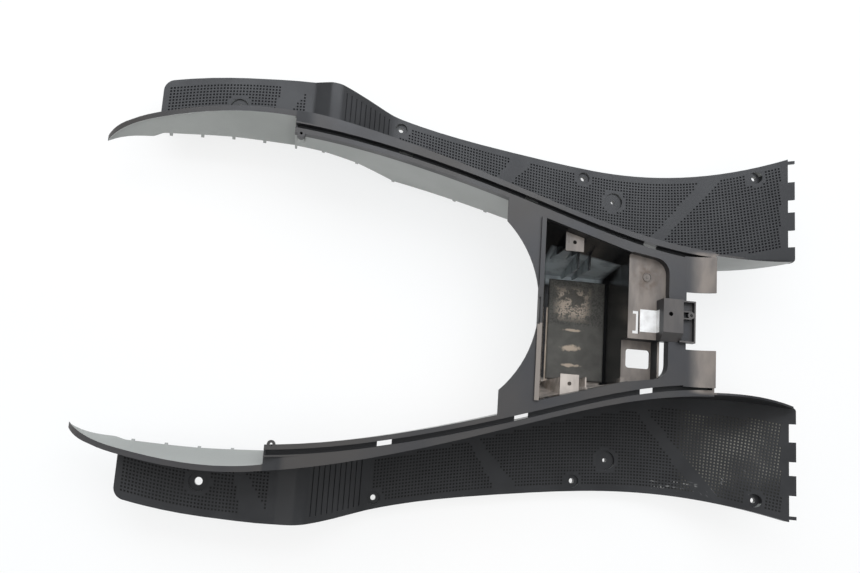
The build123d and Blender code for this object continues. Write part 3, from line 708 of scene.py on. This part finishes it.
class FloorboardSizes(bpy.types.PropertyGroup):
    """Sizes of the pieces."""
    tread_pitch: FloatProperty(name="Tread pitch", description="Distance between pits", default=4.3 * MM,
                               min=2 * MM, unit="LENGTH")
    pit_share: FloatProperty(name="Pit share", description="Side of a pit as a share of the pitch",
                             default=0.56, min=0.2, max=0.8, subtype="FACTOR")
    pit_depth: FloatProperty(name="Pit depth", description="Depth of a pit under the tread", default=0.8 * MM,
                             min=0.2 * MM, unit="LENGTH")
    pad_cell: FloatProperty(name="Pad cell", description="Cell of the foam pad's mesh", default=1.5 * MM,
                            min=0.5 * MM, unit="LENGTH")
    pad_ripple: FloatProperty(name="Pad ripple", description="Height of the foam's dents", default=0.35 * MM,
                              min=0.0, unit="LENGTH")
    mark_steps: IntProperty(name="Mark steps", description="Steps around the shelf's round mark", default=48,
                            min=12)


class FloorboardSettings(bpy.types.PropertyGroup):
    """What a user may change."""
    looks: PointerProperty(type=FloorboardFinishes)
    sizes: PointerProperty(type=FloorboardSizes)


class FLOORBOARD_OT_moulding(bpy.types.Operator):
    """Gives the moulding its charcoal finish"""
    bl_idname = "floorboard.moulding"
    bl_label = "Finish Moulding"

    def execute(self, context):
        refinish(BOARD, "charcoal_moulding", board_material, context)
        return {"FINISHED"}


class FLOORBOARD_OT_label(bpy.types.Operator):
    """Gives the blank sticker its paper"""
    bl_idname = "floorboard.label"
    bl_label = "Finish Sticker"

    def execute(self, context):
        refinish(LABEL, "blank_paper", paper_material, context)
        return {"FINISHED"}


# Sunk fields of the moulding: how deep and how level they are, how far over the tray a probe for them
# starts, and how far it reaches
SUNK_LEAST, SUNK_MOST = 0.6 * MM, 1.2 * MM
FLAT_LEAST = 0.75
PROBE_RISE, PROBE_REACH = 2 * MM, 8 * MM

# Lattice of pits: its lift over the tray, first and last station, width, share of a pit's mouth that its
# foot has, how far its rows turn square to the tail's edge, and the reach in which corners are joined
TREAD_LIFT = 0.05 * MM
TREAD_FIRST, TREAD_LAST = -0.402, 0.460
TREAD_WIDTH = 0.150
PIT_DRAFT = 0.82
TAIL_SQUARING = 0.5
WELD_REACH = 0.01 * MM


class TreadWeaver:
    """Fills the sunk fields of one tray with a lattice of square pits."""
    turns = ((-1, 1), (1, 1), (1, -1), (-1, -1))

    def __init__(self, hand, sizes):
        self.sign = SIDES[hand]
        self.sizes = sizes
        self.surface = BVHTree.FromObject(BOARD, bpy.context.evaluated_depsgraph_get())
        self.mesh = bmesh.new()

    def point(self, station, inset, drop=0.0):
        """Place on the tray at a station of its outer edge and a distance in from there."""
        x, across = station, outer_line(station) - inset
        if station > FLOOR[1][0]:
            edge_slope = (outer_line(station + MM) - outer_line(station)) / MM
            x += TAIL_SQUARING * max(edge_slope, 0) * inset
        return Vector((x, self.sign * across, tray_top(x) + TREAD_LIFT - drop))

    def square(self, station, inset, length, width, drop=0.0):
        """Corners of a square on the tray around a middle."""
        return [self.point(station + s * length / 2, inset + t * width / 2, drop) for s, t in self.turns]

    def sunk(self, place):
        """Whether the moulding is sunk under that place."""
        start = Vector((place.x, place.y, tray_top(place.x) + PROBE_RISE))
        hit, normal, _, _ = self.surface.ray_cast(start, Vector((0, 0, -1)), PROBE_REACH)
        if hit is None or normal.z <= FLAT_LEAST:
            return False
        return SUNK_LEAST < tray_top(place.x) - hit.z < SUNK_MOST

    def clear_of_rings(self, place):
        """The place, moved out of a screw's smooth ring."""
        for station, side, radius in SCREW_RINGS:
            offset = Vector((place.x - station, place.y - self.sign * side))
            if 0 < offset.length < radius:
                out = offset.normalized() * radius
                x = station + out.x
                return Vector((x, self.sign * side + out.y, tray_top(x) + TREAD_LIFT))
        return place

    def face(self, points, slot):
        """Adds a face that looks up on either side."""
        if self.sign < 0:
            points = points[::-1]
        self.mesh.faces.new([self.mesh.verts.new(p) for p in points]).material_index = slot

    def cell(self, station, inset, length, width):
        """One cell: with a pit where the field is wide enough, plain at its border."""
        share = self.sizes.pit_share
        outside = self.square(station, inset, length, width)
        mouth = self.square(station, inset, length * share, width * share)
        middle = self.point(station, inset)
        cleared = [self.clear_of_rings(p) for p in outside]
        if self.sunk(middle) and all(self.sunk(p) for p in mouth) and cleared == outside:
            foot_share = share * PIT_DRAFT
            foot = self.square(station, inset, length * foot_share, width * foot_share, self.sizes.pit_depth)
            for i in range(4):
                k = (i + 1) % 4
                self.face([outside[i], outside[k], mouth[k], mouth[i]], 0)
                self.face([mouth[i], mouth[k], foot[k], foot[i]], 1)
            self.face(foot, 1)
        elif self.sunk(middle) or any(self.sunk(p) for p in outside):
            if any(moved == p for moved, p in zip(cleared, outside)):
                self.face(cleared, 0)

    def weave(self):
        """Goes over the tray cell by cell; gives the mesh."""
        pitch = self.sizes.tread_pitch
        station = TREAD_FIRST
        while station < TREAD_LAST:
            rise = (tray_top(station + MM) - tray_top(station)) / MM
            length = pitch / math.hypot(1, rise)
            for row in range(int(TREAD_WIDTH / pitch)):
                self.cell(station + length / 2, (row + 0.5) * pitch, length, pitch)
            station += length
        bmesh.ops.remove_doubles(self.mesh, verts=self.mesh.verts, dist=WELD_REACH)
        made = bpy.data.meshes.new("tread")
        self.mesh.to_mesh(made)
        self.mesh.free()
        return made


class FLOORBOARD_OT_tread(bpy.types.Operator):
    """Fills the sunk fields of both trays with square pits"""
    bl_idname = "floorboard.tread"
    bl_label = "Add Tread"

    def execute(self, context):
        settings = context.scene.floorboard
        top = material_of("tread_plastic", tread_material, settings.looks)
        pits = material_of("tread_pits_shade_and_dust", pit_shade_and_dust_material, settings.looks)
        for hand in SIDES:
            mesh = TreadWeaver(hand, settings.sizes).weave()
            if not mesh.polygons:
                raise RuntimeError("no sunk field was found for the tread of the " + hand + " tray")
            add_piece("tread_" + hand, mesh, "board_plastic", top, pits)
        return {"FINISHED"}


# Foam pad: gap to the solid's sides, rounding of its edges, and scale, fall, step and layers of its dents
PAD_INSET = 0.3 * MM
PAD_ROUND = 1.2 * MM
DENT_SCALE = 60.0
DENT_FALL, DENT_STEP, DENT_LAYERS = 1.0, 2.0, 3


class FLOORBOARD_OT_pad(bpy.types.Operator):
    """Makes the foam pad with rounded edges and dents from the battery"""
    bl_idname = "floorboard.pad"
    bl_label = "Add Foam Pad"

    def execute(self, context):
        settings = context.scene.floorboard
        size = PAD_HIGH - PAD_LOW
        middle = (PAD_LOW + PAD_HIGH) / 2
        ripple = settings.sizes.pad_ripple
        columns = int(size.x / settings.sizes.pad_cell)
        rows = int(size.y / settings.sizes.pad_cell)
        form = bmesh.new()
        bmesh.ops.create_grid(form, x_segments=columns, y_segments=rows, size=0.5)
        for corner in form.verts:
            x, y = corner.co.x * (size.x - 2 * PAD_INSET), corner.co.y * (size.y - 2 * PAD_INSET)
            rim = min(size.x / 2 - abs(x), size.y / 2 - abs(y)) - PAD_INSET
            rounding = PAD_ROUND * (1 - min(rim / PAD_ROUND, 1)) ** 2
            place = Vector((x, y, 0)) * DENT_SCALE
            dents = noise.fractal(place, DENT_FALL, DENT_STEP, DENT_LAYERS) * ripple
            corner.co = Vector((middle.x + x, middle.y + y, PAD_HIGH.z - ripple - rounding + dents))
        border = [edge for edge in form.edges if edge.is_boundary]
        walls = bmesh.ops.extrude_edge_only(form, edges=border)["geom"]
        for item in walls:
            if isinstance(item, bmesh.types.BMVert):
                item.co.z = PAD_LOW.z
        bottom = [edge for edge in form.edges if edge.is_boundary]
        bmesh.ops.contextual_create(form, geom=bottom)
        bmesh.ops.recalc_face_normals(form, faces=form.faces)
        for face in form.faces:
            face.smooth = True
        mesh = bpy.data.meshes.new("foam_pad")
        form.to_mesh(mesh)
        form.free()
        foam = material_of("dirty_foam", foam_material, settings.looks)
        pad = add_piece("foam_pad", mesh, "pad_foam", foam)
        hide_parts("battery_pad")
        return {"FINISHED"}


# Rings of the shelf's round mark: radius and height in millimetres
MARK_PROFILE = [(1.6, 0.6), (2.0, 0.1), (4.6, 0.1), (5.0, 0.8), (6.0, 0.8), (6.6, -0.3)]


class FLOORBOARD_OT_shelf_mark(bpy.types.Operator):
    """Adds the round moulded mark on the shelf"""
    bl_idname = "floorboard.shelf_mark"
    bl_label = "Add Shelf Mark"

    def execute(self, context):
        settings = context.scene.floorboard
        steps = settings.sizes.mark_steps
        turn = [2 * math.pi * k / steps for k in range(steps)]
        form = bmesh.new()
        rings = []
        for radius, height in MARK_PROFILE:
            rings.append([form.verts.new((SHELF_MARK[0] + radius * MM * math.cos(a),
                                          SHELF_MARK[1] + radius * MM * math.sin(a),
                                          SHELF_MARK[2] + height * MM)) for a in turn])
        form.faces.new(rings[0])
        for inner, outer in zip(rings, rings[1:]):
            for k in range(steps):
                n = (k + 1) % steps
                form.faces.new((inner[k], outer[k], outer[n], inner[n]))
        mesh = bpy.data.meshes.new("shelf_mark")
        form.to_mesh(mesh)
        form.free()
        plastic = material_of("charcoal_moulding", board_material, settings.looks)
        add_piece("shelf_mark", mesh, "board_plastic", plastic)
        return {"FINISHED"}


# Floor: half of its side, how far it lies under the part, and height of the backdrop around it
FLOOR_HALF = 30.0
FLOOR_DROP = 0.5 * MM
BACKDROP_HEIGHT = 8.0

# Lamps: name, place, size, radiance, colour and whether the gloss of the plastic shows it
LAMPS = [("window", (0.05, 1.05, 1.55), (2.9, 1.1), 3.1, (0.91, 0.945, 1.0), True),
         ("ceiling", (0.0, -0.1, 2.2), (2.6, 2.2), 1.3, (1.0, 1.0, 1.0), False),
         ("front_fill", (-1.8, -0.8, 1.2), (1.4, 1.0), 1.0, (1.0, 0.99, 0.97), True)]
LAMP_AIM = Vector((0.0, 0.0, 0.05))
WORLD_COLOUR = (0.95, 0.97, 1.0, 1.0)
WORLD_STRENGTH = 0.42


class FLOORBOARD_OT_stage(bpy.types.Operator):
    """Sets the floor, the lamps, the world and the photograph's camera"""
    bl_idname = "floorboard.stage"
    bl_label = "Set Stage"

    def execute(self, context):
        scene = context.scene
        scene.view_settings.view_transform = "Standard"
        self.add_floor(scene)
        self.add_lamps(scene)
        self.add_world(scene)
        self.add_camera(scene)
        return {"FINISHED"}

    def add_floor(self, scene):
        """Pale floor under the part, with a backdrop all around."""
        mesh = bpy.data.meshes.new("floor")
        ends = ((-1, -1), (1, -1), (1, 1), (-1, 1))
        low = CAD_BOX[0].z - FLOOR_DROP
        corners = [(a * FLOOR_HALF, b * FLOOR_HALF, z) for z in (low, low + BACKDROP_HEIGHT) for a, b in ends]
        walls = [((k + 1) % 4, k, k + 4, (k + 1) % 4 + 4) for k in range(4)]
        mesh.from_pydata(corners, [], [(0, 1, 2, 3), *walls])
        mesh.materials.append(material_of("floor_pale", floor_material, scene.floorboard.looks))
        floor = bpy.data.objects.new("floor", mesh)
        scene.collection.objects.link(floor)

    def add_lamps(self, scene):
        """Soft lamps around the part."""
        for name, place, size, radiance, colour, in_gloss in LAMPS:
            lamp = bpy.data.lights.new(name, "AREA")
            lamp.shape = "RECTANGLE"
            lamp.size, lamp.size_y = size
            lamp.energy = math.pi * size[0] * size[1] * radiance
            lamp.color = colour
            holder = bpy.data.objects.new(name, lamp)
            holder.location = place
            holder.rotation_euler = (LAMP_AIM - Vector(place)).to_track_quat("-Z", "Y").to_euler()
            holder.visible_glossy = in_gloss
            scene.collection.objects.link(holder)

    def add_world(self, scene):
        """Even light from all around."""
        world = bpy.data.worlds.new("studio")
        world.use_nodes = True
        back = world.node_tree.nodes["Background"]
        back.inputs["Color"].default_value = WORLD_COLOUR
        back.inputs["Strength"].default_value = WORLD_STRENGTH
        scene.world = world

    def add_camera(self, scene):
        """Camera where the photograph was taken."""
        right, up = Vector(CAMERA_RIGHT), Vector(CAMERA_UP)
        turn = Matrix((right, up, right.cross(up))).transposed().to_4x4()
        lens = bpy.data.cameras.new("photo_camera")
        lens.sensor_width = CAMERA_SENSOR
        lens.lens = CAMERA_LENS
        holder = bpy.data.objects.new("photo_camera", lens)
        holder.matrix_world = Matrix.Translation(CAMERA_PLACE) @ turn
        scene.collection.objects.link(holder)
        scene.camera = holder


class FLOORBOARD_PT_panel(bpy.types.Panel):
    """Lists the floorboard's operators and values"""
    bl_idname = "FLOORBOARD_PT_panel"
    bl_label = "Floorboard"
    bl_space_type = "VIEW_3D"
    bl_region_type = "UI"
    bl_category = "Floorboard"

    def draw(self, context):
        for operator in OPERATORS:
            self.layout.operator(operator.bl_idname)
        settings = context.scene.floorboard
        for group in (settings.sizes, settings.looks):
            for label in group.__annotations__:
                self.layout.prop(group, label)


OPERATORS = (FLOORBOARD_OT_moulding, FLOORBOARD_OT_tread, FLOORBOARD_OT_pad, FLOORBOARD_OT_label,
             FLOORBOARD_OT_shelf_mark, FLOORBOARD_OT_stage)
CLASSES = (FloorboardFinishes, FloorboardSizes, FloorboardSettings, *OPERATORS, FLOORBOARD_PT_panel)


def register():
    """Makes the classes and the scene's settings known to Blender."""
    for item in CLASSES:
        bpy.utils.register_class(item)
    bpy.types.Scene.floorboard = PointerProperty(type=FloorboardSettings)


def unregister():
    """Takes the settings and the classes back out."""
    del bpy.types.Scene.floorboard
    for item in reversed(CLASSES):
        bpy.utils.unregister_class(item)


def main():
    """Dresses the part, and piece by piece."""
    register()
    bpy.ops.floorboard.moulding()
    bpy.ops.floorboard.tread()
    bpy.ops.floorboard.pad()
    bpy.ops.floorboard.label()
    bpy.ops.floorboard.shelf_mark()
    bpy.ops.floorboard.stage()


if __name__ == "__main__":
    main()
